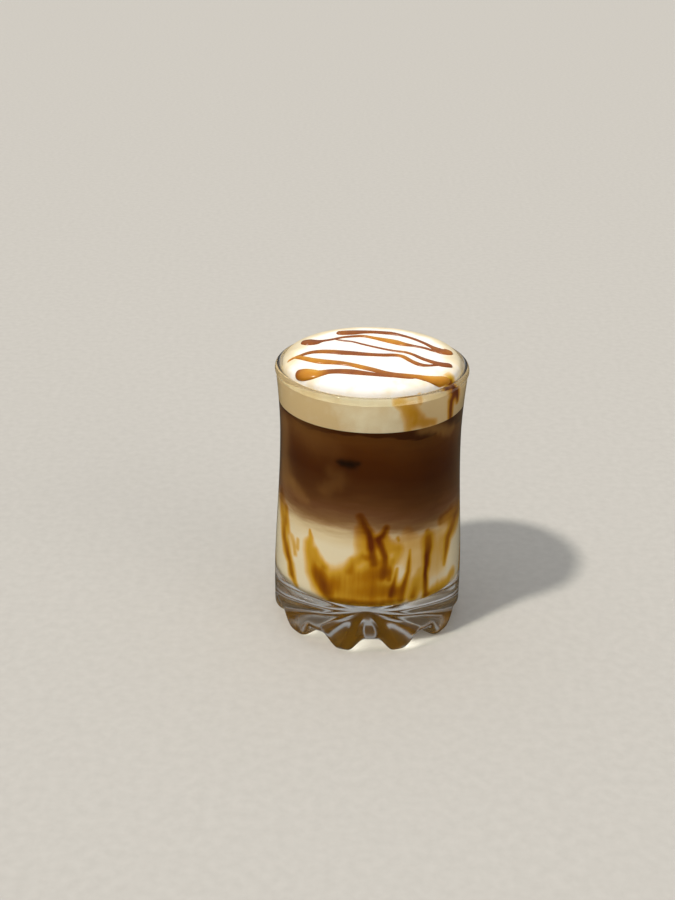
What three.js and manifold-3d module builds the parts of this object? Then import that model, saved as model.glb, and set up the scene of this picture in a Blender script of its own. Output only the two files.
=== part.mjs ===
// A layered iced latte in a clear pressed tumbler: milk, coffee and a domed cap of milk foam
// with a zig-zag of caramel sauce. The glass stands on z = 0 and its axis is the z axis. Millimetres.
import * as THREE from 'three';
import { mergeVertices } from 'three/addons/utils/BufferGeometryUtils.js';
import Module from 'manifold-3d';

const wasm = await Module();
wasm.setup();

// Glass, outside
const GLASS_HEIGHT = 111.3;
const RIM_RADIUS = 38;
const BULGE_RADIUS = 38.65;
const BULGE_Z = 13.5;
const WAIST_RADIUS = 36.1;
const WAIST_Z = 84;
const RIM_FLARE = 1.6;
const RIM_FLARE_POWER = 1.6;

// Fire-polished bead round the rim
const BEAD_HALF_WIDTH = 1.3;
const BEAD_HALF_HEIGHT = 1.7;
const BEAD_Z = GLASS_HEIGHT - BEAD_HALF_HEIGHT;
const BEAD_NECK = 0.3;
const BEAD_TURNS = [-50, -10, 30, 70, 110, 150, 190];

// Glass, inside
const WALL_AT_RIM = 2.1;
const WALL_AT_FLOOR = 2.9;
const FLOOR_Z = 21.5;
const FLOOR_CORNER = 4;

// Foot: ten petals that stand on their toes, with arches between them
const PETALS = 10;
const TOE_ANGLE = -70;
const TOE_FLAT = 2.5;
const TOE_FALL = 14.5;
const TOE_INNER_RADIUS = 27.5;
const TOE_OUTER_RADIUS = 32.5;
const TOE_ROUNDING_Z = 6.5;
const ARCH_RADIUS = 34.4;
const ARCH_HEIGHT = 6.6;
const ARCH_TOP_Z = 12.4;
const UNDERSIDE_RISE = 7;
const RIBS_FROM_RADIUS = 3;
const RIBS_RISE = 15;

// Contents
const MILK_TOP_Z = 57.5;
const COFFEE_TOP_Z = 96.65;
const FOAM_EDGE_Z = 110.8;
const FOAM_RISE = 5;
const FOAM_RADIUS = 35;
const FOAM_FLATNESS = 8;
const FOAM_SHOULDER = 0.4;
const FOAM_SHARES = [1, 0.99, 0.97, 0.93, 0.85, 0.7, 0.4];
const GAP = 0.3;

// Caramel drizzle: stations [x, y, width] of each stroke on top of the foam, seen from above
const DRIZZLE_REACH = 34.5;
const DRIZZLE_HEIGHT = 0.45;
const DRIZZLE_LEAST_HEIGHT = 0.7;
const DRIZZLE_END_TAPER = 0.2;
const DRIZZLE = [
  [
    [-13.5, 20.6, 4], [-5.5, 21.6, 4], [5.2, 21.5, 3.1], [12.7, 18.3, 2], [20.8, 10.1, 1.8],
    [26.9, 1.2, 5], [30.4, 2.4, 3],
  ],
  [
    [-26.7, 10.3, 5], [-22.4, 9.7, 5], [-16.1, 12.7, 1.8], [-3.5, 17.1, 2.2], [4.9, 12.9, 3.5],
    [9, 10.6, 4.2], [16.4, 6.5, 2], [26, 0.3, 2.4],
  ],
  [
    [-11.1, 11.6, 1.5], [-3.6, 7.7, 1.5], [4.7, 2.6, 1.6], [12.8, -0.7, 1.8], [19, -7.3, 2.2],
    [26, -12.2, 3.6], [29.7, -10.8, 2.6],
  ],
  [
    [-31.4, -6.6, 1.5], [-24.2, -2.2, 2.6], [-11.9, -2, 4.1], [0.4, -3.9, 2.8], [9, -4.2, 2.6],
    [14.8, -10.3, 2.3], [18.5, -14, 2.6], [26.8, -12.5, 1.8],
  ],
  [
    [-30.2, -6.3, 1.8], [-24, -9.7, 3.6], [-11.9, -13.5, 3.4], [-3.9, -17.6, 3.4], [4, -22.7, 3.3],
    [11.8, -24.6, 3], [19.7, -24.9, 3.3], [26.6, -21.2, 4],
  ],
  [
    [-28.4, -18.8, 3.5], [-24.5, -21.5, 5.1], [-19.7, -22.6, 4.3], [-12.6, -21.6, 3.9], [-7.9, -22.3, 4.3],
    [0, -24.3, 2.8], [7.8, -25.7, 1.8], [14.3, -26.2, 1.8],
  ],
];

// How finely the solids are cut
const SEGMENTS = 80;
const DRINK_SEGMENTS = 60;
const WALL_STEP = 12;
const WALL_START = 2;
const CORNER_STEPS = 4;
const FOOT_STEPS = 5;
const UNDERSIDE_RADII = [8, 15, 22];
const DRIZZLE_SIDES = 6;
const DRIZZLE_STEPS = 15;
const SAME_POINT = 1e-4;

const radians = THREE.MathUtils.degToRad;
const lerp = THREE.MathUtils.lerp;

function steps(count) {
  return Array.from({ length: count + 1 }, (_, i) => i / count);
}

function levels(from, to) {
  const count = Math.max(1, Math.round((to - from) / WALL_STEP));
  return steps(count).map((t) => lerp(from, to, t));
}

function outerRadius(z) {
  if (z > WAIST_Z) {
    return WAIST_RADIUS + RIM_FLARE * ((z - WAIST_Z) / (BEAD_Z - WAIST_Z)) ** RIM_FLARE_POWER;
  }
  const t = (z - BULGE_Z) / (WAIST_Z - BULGE_Z);
  return WAIST_RADIUS + (BULGE_RADIUS - WAIST_RADIUS) * 0.5 * (1 + Math.cos(Math.PI * t));
}

function innerRadius(z) {
  const t = (z - FLOOR_Z) / (BEAD_Z - FLOOR_Z);
  return outerRadius(z) - lerp(WALL_AT_FLOOR, WALL_AT_RIM, t);
}

function foamTop(radius) {
  const u = Math.min(1, radius / FOAM_RADIUS);
  return FOAM_EDGE_Z + FOAM_RISE * (1 - u ** FOAM_FLATNESS) ** FOAM_SHOULDER;
}

// 1 along the middle of a petal, 0 along the groove between two petals
function petal(angle) {
  const pitch = 360 / PETALS;
  const turn = (angle - TOE_ANGLE) / pitch;
  const off = Math.abs(turn - Math.round(turn)) * pitch;
  const fall = THREE.MathUtils.clamp((off - TOE_FLAT) / (TOE_FALL - TOE_FLAT), 0, 1);
  return 0.5 * (1 + Math.cos(Math.PI * fall));
}

// A ring is a function from an angle in degrees to [radius, z]
function roundRing(radius, z) {
  return () => [radius, z];
}

function petalRing(toe, groove) {
  return (angle) => {
    const w = petal(angle);
    return [lerp(groove[0], toe[0], w), lerp(groove[1], toe[1], w)];
  };
}

// A closed surface through rings, which begins and ends at a point on the axis. No corner falls on the
// middle of a toe, so that each toe stands on a flat facet
function turnedGeometry(bottomZ, rings, topZ, segments) {
  const positions = [0, 0, bottomZ];
  for (const ring of rings) {
    for (let i = 0; i < segments; i += 1) {
      const angle = TOE_ANGLE + ((i + 0.5) * 360) / segments;
      const [radius, z] = ring(angle);
      positions.push(radius * Math.cos(radians(angle)), radius * Math.sin(radians(angle)), z);
    }
  }
  positions.push(0, 0, topZ);
  const at = (ring, i) => 1 + ring * segments + (i % segments);
  const last = 1 + rings.length * segments;
  const triangles = [];
  for (let i = 0; i < segments; i += 1) {
    triangles.push(0, at(0, i + 1), at(0, i));
    for (let k = 0; k + 1 < rings.length; k += 1) {
      triangles.push(at(k, i), at(k, i + 1), at(k + 1, i + 1));
      triangles.push(at(k, i), at(k + 1, i + 1), at(k + 1, i));
    }
    triangles.push(last, at(rings.length - 1, i), at(rings.length - 1, i + 1));
  }
  const geometry = new THREE.BufferGeometry();
  geometry.setAttribute('position', new THREE.Float32BufferAttribute(positions, 3));
  geometry.setIndex(triangles);
  return geometry;
}

// The inner wall with its rounded floor corner, set back by a gap
function innerWallRings(gap, fromZ, toZ) {
  const rings = [];
  const cornerZ = FLOOR_Z + FLOOR_CORNER;
  if (fromZ < cornerZ) {
    const centre = innerRadius(cornerZ) - FLOOR_CORNER;
    const reach = FLOOR_CORNER - gap;
    for (const t of steps(CORNER_STEPS)) {
      const turn = (Math.PI / 2) * t;
      rings.push(roundRing(centre + reach * Math.sin(turn), cornerZ - reach * Math.cos(turn)));
    }
  } else {
    rings.push(roundRing(innerRadius(fromZ) - gap, fromZ));
  }
  for (const z of levels(Math.max(fromZ, cornerZ), toZ).slice(1)) {
    rings.push(roundRing(innerRadius(z) - gap, z));
  }
  return rings;
}

// The underside, where ribs rise out of a smooth middle, and the rounded petals
function footRings() {
  const rings = UNDERSIDE_RADII.map((radius) => {
    const toeZ = UNDERSIDE_RISE * (1 - radius / TOE_INNER_RADIUS);
    const grooveZ = lerp(UNDERSIDE_RISE, ARCH_HEIGHT, radius / ARCH_RADIUS);
    const middleZ = 0.5 * (toeZ + grooveZ);
    const ribs = THREE.MathUtils.smoothstep(radius, RIBS_FROM_RADIUS, RIBS_FROM_RADIUS + RIBS_RISE);
    return petalRing([radius, lerp(middleZ, toeZ, ribs)], [radius, lerp(middleZ, grooveZ, ribs)]);
  });
  const archInner = lerp(UNDERSIDE_RISE, ARCH_HEIGHT, TOE_INNER_RADIUS / ARCH_RADIUS);
  rings.push(petalRing([TOE_INNER_RADIUS, 0], [TOE_INNER_RADIUS, archInner]));
  for (const t of steps(FOOT_STEPS)) {
    const turn = (Math.PI / 2) * t;
    const toeReach = outerRadius(TOE_ROUNDING_Z) - TOE_OUTER_RADIUS;
    const archReach = outerRadius(ARCH_TOP_Z) - ARCH_RADIUS;
    rings.push(
      petalRing(
        [TOE_OUTER_RADIUS + toeReach * Math.sin(turn), TOE_ROUNDING_Z * (1 - Math.cos(turn))],
        [
          ARCH_RADIUS + archReach * Math.sin(turn),
          lerp(ARCH_HEIGHT, ARCH_TOP_Z, 1 - Math.cos(turn)),
        ],
      ),
    );
  }
  return rings;
}

function beadRings() {
  return BEAD_TURNS.map((turn) => {
    const radius = RIM_RADIUS - BEAD_HALF_WIDTH + BEAD_HALF_WIDTH * Math.cos(radians(turn));
    return roundRing(radius, BEAD_Z + BEAD_HALF_HEIGHT * Math.sin(radians(turn)));
  });
}

function glassGeometry() {
  const wallTop = BEAD_Z - BEAD_HALF_HEIGHT - BEAD_NECK;
  const outside = levels(BULGE_Z + WALL_START, wallTop).map((z) => roundRing(outerRadius(z), z));
  const inside = innerWallRings(0, FLOOR_Z, wallTop).reverse();
  const rings = [...footRings(), ...outside, ...beadRings(), ...inside];
  return turnedGeometry(UNDERSIDE_RISE, rings, FLOOR_Z, SEGMENTS);
}

function layerGeometry(fromZ, toZ) {
  return turnedGeometry(fromZ, innerWallRings(GAP, fromZ, toZ), toZ, DRINK_SEGMENTS);
}

// One stroke of thick sauce: a flat-bellied loft that follows the top of the foam
function strokeGeometry(stations) {
  const line = new THREE.CatmullRomCurve3(stations.map(([x, y, width]) => new THREE.Vector3(x, y, width)));
  const positions = [];
  const triangles = [];
  const samples = line.getPoints(DRIZZLE_STEPS);
  samples.forEach((sample, k) => {
    const before = samples[Math.max(0, k - 1)];
    const after = samples[Math.min(DRIZZLE_STEPS, k + 1)];
    const side = new THREE.Vector2(before.y - after.y, after.x - before.x).normalize();
    const along = lerp(DRIZZLE_END_TAPER, 1 - DRIZZLE_END_TAPER, k / DRIZZLE_STEPS);
    const halfWidth = 0.5 * sample.z * Math.sqrt(Math.sin(Math.PI * along));
    const halfHeight = Math.max(DRIZZLE_LEAST_HEIGHT, DRIZZLE_HEIGHT * halfWidth);
    for (let i = 0; i < DRIZZLE_SIDES; i += 1) {
      const turn = (2 * Math.PI * i) / DRIZZLE_SIDES;
      const x = sample.x + side.x * halfWidth * Math.cos(turn);
      const y = sample.y + side.y * halfWidth * Math.cos(turn);
      const inward = Math.min(1, DRIZZLE_REACH / Math.hypot(x, y));
      const top = foamTop(Math.hypot(x, y) * inward);
      positions.push(x * inward, y * inward, top + halfHeight * Math.sin(turn));
    }
  });
  const at = (k, i) => k * DRIZZLE_SIDES + (i % DRIZZLE_SIDES);
  for (let i = 0; i < DRIZZLE_SIDES; i += 1) {
    for (let k = 0; k < DRIZZLE_STEPS; k += 1) {
      triangles.push(at(k, i), at(k, i + 1), at(k + 1, i + 1));
      triangles.push(at(k, i), at(k + 1, i + 1), at(k + 1, i));
    }
  }
  for (let i = 1; i + 1 < DRIZZLE_SIDES; i += 1) {
    triangles.push(at(0, 0), at(0, i + 1), at(0, i));
    triangles.push(at(DRIZZLE_STEPS, 0), at(DRIZZLE_STEPS, i), at(DRIZZLE_STEPS, i + 1));
  }
  const geometry = new THREE.BufferGeometry();
  geometry.setAttribute('position', new THREE.Float32BufferAttribute(positions, 3));
  geometry.setIndex(triangles);
  return geometry;
}

function solidOf(geometry) {
  const merged = mergeVertices(geometry, SAME_POINT);
  return new wasm.Manifold(
    new wasm.Mesh({
      numProp: 3,
      vertProperties: new Float32Array(merged.attributes.position.array),
      triVerts: new Uint32Array(merged.index.array),
    }),
  );
}

function geometryOf(solid) {
  const mesh = solid.getMesh();
  const geometry = new THREE.BufferGeometry();
  geometry.setAttribute('position', new THREE.BufferAttribute(mesh.vertProperties, 3));
  geometry.setIndex(new THREE.BufferAttribute(mesh.triVerts, 1));
  return geometry;
}

function foamGeometry() {
  const fromZ = COFFEE_TOP_Z + GAP / 2;
  const side = innerWallRings(GAP, fromZ, BEAD_Z - BEAD_HALF_HEIGHT);
  const dome = FOAM_SHARES.map((share) => {
    const radius = FOAM_RADIUS * share;
    return roundRing(radius, foamTop(radius));
  });
  let solid = solidOf(turnedGeometry(fromZ, [...side, ...dome], foamTop(0), DRINK_SEGMENTS));
  for (const stations of DRIZZLE) {
    solid = solid.add(solidOf(strokeGeometry(stations)));
  }
  return geometryOf(solid);
}

function node(name, geometry, material) {
  const mesh = new THREE.Mesh(geometry, material);
  mesh.name = name;
  return mesh;
}

const clearGlass = new THREE.MeshStandardMaterial({
  color: 0xdfe8e6,
  roughness: 0.05,
  metalness: 0,
  transparent: true,
  opacity: 0.35,
});
const milkMaterial = new THREE.MeshStandardMaterial({ color: 0xd8c79f, roughness: 0.45, metalness: 0 });
const coffeeMaterial = new THREE.MeshStandardMaterial({ color: 0x3f2209, roughness: 0.3, metalness: 0 });
const foamMaterial = new THREE.MeshStandardMaterial({ color: 0xf5ecd8, roughness: 0.7, metalness: 0 });

const latte = new THREE.Group();
latte.name = 'latte';
latte.add(node('glass', glassGeometry(), clearGlass));
latte.add(node('milk', layerGeometry(FLOOR_Z + GAP, MILK_TOP_Z - GAP / 2), milkMaterial));
latte.add(node('coffee', layerGeometry(MILK_TOP_Z + GAP / 2, COFFEE_TOP_Z - GAP / 2), coffeeMaterial));
latte.add(node('foam', foamGeometry(), foamMaterial));

export default latte;
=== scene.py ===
"""A layered iced latte in a clear pressed tumbler, with milk foam and a zig-zag of caramel sauce.

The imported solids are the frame. Each is replaced by a finer mesh of the same form, for its look.
Lengths are in millimetres and angles in degrees until a mesh is written, in metres.
On the wall of the glass a place is (turn, z): turn is 0 at the front and grows to the viewer's right.
"""

import math

import bpy
import numpy as np
from mathutils import Matrix
from mathutils import Vector


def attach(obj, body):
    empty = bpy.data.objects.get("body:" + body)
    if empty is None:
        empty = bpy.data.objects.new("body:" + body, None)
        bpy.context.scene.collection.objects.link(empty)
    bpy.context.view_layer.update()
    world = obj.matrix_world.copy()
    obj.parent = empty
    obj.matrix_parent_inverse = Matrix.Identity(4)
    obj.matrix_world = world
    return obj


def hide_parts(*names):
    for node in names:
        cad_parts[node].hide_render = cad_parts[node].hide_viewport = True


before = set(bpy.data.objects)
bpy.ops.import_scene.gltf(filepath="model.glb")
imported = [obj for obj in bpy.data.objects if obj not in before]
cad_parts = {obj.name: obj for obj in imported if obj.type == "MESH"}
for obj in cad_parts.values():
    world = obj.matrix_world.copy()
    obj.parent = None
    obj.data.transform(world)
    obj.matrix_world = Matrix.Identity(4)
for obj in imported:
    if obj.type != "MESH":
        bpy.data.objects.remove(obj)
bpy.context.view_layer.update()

MM = 0.001

# Glass, as in the solids
GLASS_HEIGHT = 111.3
RIM_RADIUS = 38.0
BULGE_RADIUS = 38.65
BULGE_Z = 13.5
WALL_START = 0.5
WAIST_RADIUS = 36.1
WAIST_Z = 84.0
RIM_FLARE = 1.6
RIM_FLARE_POWER = 1.6
BEAD_HALF_WIDTH = 1.3
BEAD_HALF_HEIGHT = 1.7
BEAD_Z = GLASS_HEIGHT - BEAD_HALF_HEIGHT
BEAD_NECK = 0.3
BEAD_TURNS = (-60.0, 196.0)
WALL_AT_RIM = 2.1
WALL_AT_FLOOR = 2.9
FLOOR_Z = 21.5
FLOOR_CORNER = 4.0
PETALS = 10
TOE_ANGLE = 20.0
TOE_FLAT = 2.5
TOE_FALL = 14.5
TOE_INNER_RADIUS = 27.5
TOE_OUTER_RADIUS = 32.5
TOE_ROUNDING_Z = 6.5
ARCH_RADIUS = 34.4
ARCH_HEIGHT = 6.6
ARCH_TOP_Z = 12.4
UNDERSIDE_RISE = 7.0
RIBS_FROM_RADIUS = 3.0
RIBS_RISE = 15.0

# The underside, blurred by the mould, ends below this
UNDERSIDE_TOP_Z = 9.0
MOULD_ROUGHNESS = 0.22

# Contents, as in the solids. They reach this far into the wall, so that no air shows between
REACH = 0.2
MILK_TOP_Z = 57.5
COFFEE_TOP_Z = 96.65
FOAM_EDGE_Z = 110.8
FOAM_RISE = 5.0
FOAM_RADIUS = 35.0
FOAM_FLATNESS = 8.0
FOAM_SHOULDER = 0.4

# Above this the foam leans away from the bead of the rim
FOAM_LEAN_Z = BEAD_Z - 0.6

# Strokes of the drizzle: stations of x, y, width and how much painted glow the sauce gets there, as if light
# shone through it from the foam. x and y are measured from the middle of the foam along its surface, so that
# a stroke can run over the shoulder
DRIZZLE = (
    (
        (-14.2, 20.5, 3.0, 0.1), (-11.9, 20.7, 4.4, 0.3), (-7.7, 21.2, 4.5, 0.1), (-3.4, 22.0, 3.3, 0.0),
        (0.9, 22.1, 2.9, 0.0), (5.2, 21.4, 3.1, 0.0), (8.5, 20.6, 3.0, 0.0), (12.7, 18.3, 1.9, 0.0),
        (16.8, 14.7, 1.7, 0.0), (20.8, 10.0, 1.8, 0.0), (23.8, 5.5, 2.4, 0.1), (26.9, 1.4, 5.0, 0.2),
        (29.4, 1.4, 5.4, 0.5), (31.0, 2.6, 2.0, 0.8),
    ),
    (
        (-28.0, 10.4, 3.0, 0.0), (-26.6, 9.9, 5.0, 0.0), (-24.6, 9.4, 6.0, 0.1), (-22.4, 9.7, 4.9, 0.0),
        (-19.9, 10.9, 2.1, 0.0), (-16.1, 12.7, 1.5, 0.0), (-11.9, 15.3, 1.6, 0.0), (-7.7, 16.6, 1.9, 0.2),
        (-3.5, 17.1, 2.2, 0.5), (0.8, 15.2, 2.4, 0.8), (4.9, 12.9, 3.5, 1.0), (9.0, 10.6, 4.2, 1.0),
        (12.3, 8.3, 3.5, 0.6), (16.4, 6.5, 2.0, 0.1), (20.5, 4.4, 1.7, 0.0), (23.6, 1.8, 1.7, 0.0),
        (26.0, 0.6, 2.0, 0.0),
    ),
    (
        (-14.9, 13.1, 0.8, 0.0), (-11.1, 11.5, 1.1, 0.0), (-7.7, 10.5, 1.1, 0.0), (-3.6, 7.7, 1.2, 0.0),
        (0.6, 5.0, 1.3, 0.1), (4.7, 2.6, 1.4, 0.1), (8.7, 0.6, 1.6, 0.2), (12.8, -0.7, 1.8, 0.4),
        (15.9, -3.3, 1.8, 0.2), (19.0, -7.3, 2.2, 0.1), (22.9, -10.7, 2.7, 0.1), (26.0, -12.3, 3.6, 0.0),
        (29.0, -11.8, 3.2, 0.0), (30.3, -11.2, 1.9, 0.0),
    ),
    (
        (-33.2, -7.8, 1.0, 0.9), (-31.0, -6.6, 1.3, 0.8), (-28.2, -5.0, 1.7, 0.5), (-24.2, -2.2, 2.5, 0.3),
        (-20.1, -1.2, 3.3, 0.4), (-16.0, -1.3, 3.7, 0.4), (-11.9, -2.1, 4.1, 0.2), (-7.8, -2.6, 3.7, 0.1),
        (-3.7, -3.4, 3.3, 0.1), (0.4, -3.9, 2.8, 0.1), (4.5, -4.2, 2.8, 0.1), (8.6, -4.1, 2.7, 0.3),
        (11.8, -5.6, 2.4, 0.6), (14.8, -10.3, 2.4, 0.4), (17.9, -13.8, 2.7, 0.2), (21.1, -14.3, 1.8, 0.0),
        (24.4, -13.2, 1.5, 0.0), (26.9, -12.5, 1.5, 0.0),
    ),
    (
        (-30.2, -6.4, 1.6, 0.9), (-28.1, -6.8, 2.8, 0.9), (-24.0, -9.7, 3.6, 1.0), (-19.9, -11.8, 4.3, 0.9),
        (-15.9, -12.6, 3.9, 0.7), (-11.9, -13.5, 3.5, 0.5), (-7.8, -15.2, 3.2, 0.7), (-3.9, -17.6, 3.4, 0.8),
        (0.1, -20.0, 3.3, 0.6), (4.0, -22.7, 3.3, 0.4), (7.9, -24.1, 3.0, 0.4), (11.8, -24.6, 2.9, 0.5),
        (15.8, -24.9, 2.9, 0.7), (19.8, -25.2, 3.5, 0.9), (24.0, -24.6, 4.6, 1.0), (27.5, -23.0, 4.8, 1.0),
        (30.8, -21.0, 3.4, 0.7),
    ),
    (
        (-29.8, -18.9, 3.4, 0.1), (-28.4, -19.5, 5.0, 0.3), (-26.6, -20.5, 6.0, 0.7),
        (-24.6, -21.6, 6.2, 1.0), (-22.1, -22.5, 5.6, 1.0), (-19.8, -22.5, 4.3, 0.8),
        (-16.6, -21.7, 3.6, 0.3), (-12.6, -21.6, 3.9, 0.2), (-7.9, -22.3, 4.3, 0.2),
        (-3.9, -23.3, 3.6, 0.2), (0.0, -24.3, 2.8, 0.2), (3.9, -25.2, 2.1, 0.3),
        (7.8, -25.7, 1.7, 0.3), (11.8, -26.2, 1.5, 0.3), (15.4, -26.0, 1.4, 0.5),
    ),
)

# Sauce that ran down the inside of the glass before the milk went in. Each streak is a row of stations:
# turn, z, width and depth
WALL_STREAKS = (
    # Along the left edge
    (
        (-76, 57, 6.0, 0.5), (-69, 48, 6.1, 0.65), (-67, 42, 5.6, 0.8), (-63, 36.5, 5.8, 0.85),
        (-58, 32.5, 4.3, 0.85), (-56, 27.5, 4.0, 0.85), (-52, 24.5, 2.5, 0.6),
    ),
    ((-66, 54.5, 2.7, 0.5), (-64, 48, 3.3, 0.5), (-62, 45.5, 2.3, 0.3)),
    ((-58, 44, 2.8, 0.25), (-55, 41, 2.6, 0.35), (-53, 38, 1.9, 0.35)),
    ((-51, 44.5, 1.8, 0.3), (-51, 41, 1.8, 0.35)),
    # The arm left of the cream bay
    (
        (-41, 51, 0.6, 0.5), (-40, 48, 2.0, 0.5), (-41, 44.5, 4.5, 0.55), (-40, 41.5, 5.4, 0.62),
        (-38, 38, 6.3, 0.68), (-36, 34, 7.0, 0.72), (-32, 30, 6.8, 0.74), (-28, 26.5, 5.6, 0.76),
    ),
    ((-36, 43, 2.8, 0.35), (-33, 40.5, 3.6, 0.45), (-29, 37.5, 3.4, 0.5)),
    # The pool in front
    (
        (-32, 33, 8.5, 0.7), (-26, 32.5, 9.0, 0.66), (-17, 34, 9.0, 0.6), (-8, 36, 9.4, 0.68),
        (2, 36.5, 9.0, 0.74), (9, 37, 6.0, 0.8),
    ),
    (
        (-29, 28, 7.5, 0.68), (-21, 28, 9.0, 0.6), (-12, 28, 10.0, 0.66), (-4, 28.5, 10.0, 0.72),
        (6, 29.5, 10.0, 0.8), (16, 29, 7.0, 0.8),
    ),
    ((-13, 38, 3.1, 0.5), (-10, 42, 3.4, 0.55), (-5, 44.5, 3.8, 0.5), (-1, 44, 3.0, 0.5)),
    ((-24, 23.5, 3.5, 0.65), (-12, 23.5, 4.0, 0.7), (-2, 23.5, 4.0, 0.7), (14, 24, 4.5, 0.7)),
    # The fork that hangs from the coffee
    (
        (-7, 61.5, 2.5, 0.6), (-4, 58, 3.0, 0.75), (-2, 55, 3.2, 0.85), (0, 51.5, 3.8, 1.0),
        (1, 48.5, 3.6, 1.0), (2, 45.5, 2.8, 0.85), (3, 41.5, 3.2, 0.75),
    ),
    (
        (10, 57, 2.0, 0.7), (8, 54, 2.8, 0.9), (5, 51.5, 4.0, 1.0), (7, 48, 3.2, 0.95),
        (9, 44, 3.2, 0.95), (9, 40, 3.4, 0.85), (8, 36, 3.9, 0.7),
    ),
    ((-6, 56, 4.0, 0.35), (-5, 50, 5.0, 0.45), (-3, 45.5, 6.0, 0.5), (3, 42, 7.0, 0.5)),
    ((10, 52, 3.0, 0.45), (13, 47.5, 5.0, 0.55), (17, 46.5, 4.5, 0.5), (15, 42, 4.0, 0.4)),
    ((17, 52, 1.0, 0.4), (18, 50.5, 0.8, 0.4)),
    # Threads right of the pool
    ((17, 38.5, 0.8, 0.5), (16, 34.5, 1.3, 0.65), (15, 31.5, 1.8, 0.7), (14, 27, 2.6, 0.75)),
    ((14, 42.5, 1.6, 0.35), (13, 38.5, 2.0, 0.5), (12, 34, 2.0, 0.65)),
    (
        (25, 45.5, 0.6, 0.4), (25, 40.5, 1.4, 0.75), (25, 36.5, 1.8, 0.8), (23, 32, 3.0, 0.85),
        (21, 28.5, 3.8, 0.85), (20, 25, 3.7, 0.8),
    ),
    ((32, 36, 2.7, 0.3), (31, 32, 5.0, 0.55), (30, 28.5, 5.9, 0.65), (28, 25, 4.5, 0.75)),
    # The long run on the right
    (
        (38, 52.5, 1.5, 0.45), (39, 48.5, 5.0, 0.7), (39, 44.5, 4.5, 0.85), (38, 41, 3.5, 1.0),
        (38, 37.5, 3.0, 1.0), (37, 33.5, 2.5, 0.95), (37, 28.5, 2.5, 0.85), (37, 23.5, 2.5, 0.8),
    ),
    # Along the right edge
    (
        (81, 52.5, 5.8, 0.4), (72, 49.5, 8.0, 0.6), (65, 47.5, 7.0, 0.78), (59, 44.5, 6.0, 0.85),
        (57, 40.5, 4.4, 0.85), (55, 37, 2.8, 0.7), (54, 34, 1.4, 0.5),
    ),
    ((52, 54, 3.9, 0.4), (62, 53, 6.5, 0.5), (72, 52.5, 8.0, 0.45)),
    ((65, 26.5, 5.0, 0.4), (58, 25, 4.7, 0.5), (49, 24.5, 4.9, 0.6), (40, 23.5, 4.2, 0.7)),
    ((20, 48.5, 7.3, 0.2), (27, 41.5, 8.7, 0.22), (46, 37.5, 14.2, 0.24)),
    ((24, 54, 4.2, 0.15), (30, 48.5, 6.2, 0.2), (50, 45.5, 10.0, 0.22)),
)

# Smears of sauce between the foam and the glass, and the drip from the end of the drizzle
FOAM_SMEARS = (
    (
        (14, 109, 2.6, 0.35), (18, 107.5, 3.5, 0.42), (22, 105, 5.6, 0.5), (24, 102.5, 5.8, 0.46),
        (23, 99.5, 4.2, 0.4), (22, 97.5, 3.0, 0.3),
    ),
    ((27, 100, 2.8, 0.34), (33, 99, 3.2, 0.4), (40, 98, 3.0, 0.3)),
    ((29, 110.5, 1.3, 0.2), (29, 107.5, 1.5, 0.25)),
    ((26, 104, 2.6, 0.25), (30, 101.5, 3.4, 0.25)),
    (
        (56, 110.5, 6.0, 1.0), (57, 108.5, 5.0, 1.0), (57, 106.5, 4.6, 1.0), (55, 104.5, 3.6, 1.0),
        (55, 101, 3.1, 1.0), (56, 97.5, 2.8, 0.95),
    ),
    ((60, 107.5, 3.6, 1.0), (62, 104.5, 3.0, 1.0), (63, 102.5, 2.4, 0.8)),
)

# Clear ice pressed to the wall, which shows the dark inside of the coffee
ICE_WINDOW = (
    ((-21.5, 83.2, 1.6, 0.8), (-18.5, 82.9, 3.2, 1.0), (-12.5, 82.7, 3.8, 1.0), (-8.5, 83.2, 1.6, 0.8)),
)

# Milk that clouds the coffee at the wall. Along the left side and the right edge the clouds are partly
# painted
# light: the left side lit and glowing through the coffee, and the grazing edges lit by reflection
MILK_CLOUDS_AND_EDGE_LIGHT = (
    ((32, 97, 4.0, 0.35), (40, 95.5, 5.0, 0.45), (50, 94, 5.0, 0.4), (60, 91, 4.0, 0.3)),
    ((-72, 90, 9, 0.35), (-74, 78, 10, 0.3), (-70, 68, 12, 0.35)),
    ((-58, 66, 7, 0.25), (-45, 62.5, 4, 0.2)),
    ((-52, 93, 12, 0.14), (-38, 90, 14, 0.12), (-26, 88, 10, 0.08)),
    ((-26, 79, 5, 0.1), (-20, 76, 6, 0.12), (-30, 70, 6, 0.12)),
    ((70, 92, 9, 0.15), (74, 82, 12, 0.1), (76, 70, 12, 0.1)),
)

# How far the stain of the coffee has sunk, and how much further on the right: from this turn, over this
# many degrees, and fading to the side of the glass
LAYER_LEAN = 1.2
LEAN_ON_RIGHT = 3.0
LEAN_TURNS = (-10.0, 50.0)
LEAN_FADE = 3.0

# Sauce that settled on the floor of the glass
SETTLED_DEPTH = 0.68
SETTLED_RADIUS = 31.4

# How far a streak thins out past its width, and how flat it is across
STREAK_EDGE = 0.2
STREAK_FLATNESS = 2.6

# Unevenness of the wall: cell width, cell height, seed and how far it reaches
STREAKS_WANDER = ((5.0, 9.0, 1, 0.8), (2.0, 6.0, 2, 0.35))
STREAKS_LIFT = ((4.0, 6.0, 3, 1.2), (1.5, 4.0, 4, 0.6))
LAYERS_LIFT = ((14.0, 12.0, 6, 1.0), (6.0, 6.0, 7, 0.5))

# How much each kind of streak follows that unevenness
SAUCE_DRIFT = 0.5
ICE_DRIFT = 0.4
SMEAR_DRIFT = 0.35

# Streaks round the back: from and to these turns, down to this height
BACK_FROM_TURN = 90.0
BACK_TO_TURN = 268.0
BACK_FOOT_Z = 24.0
BACK_SEED = 5
POOL_STEP = 20.0
POOL_DEPTH = 0.62
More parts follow.
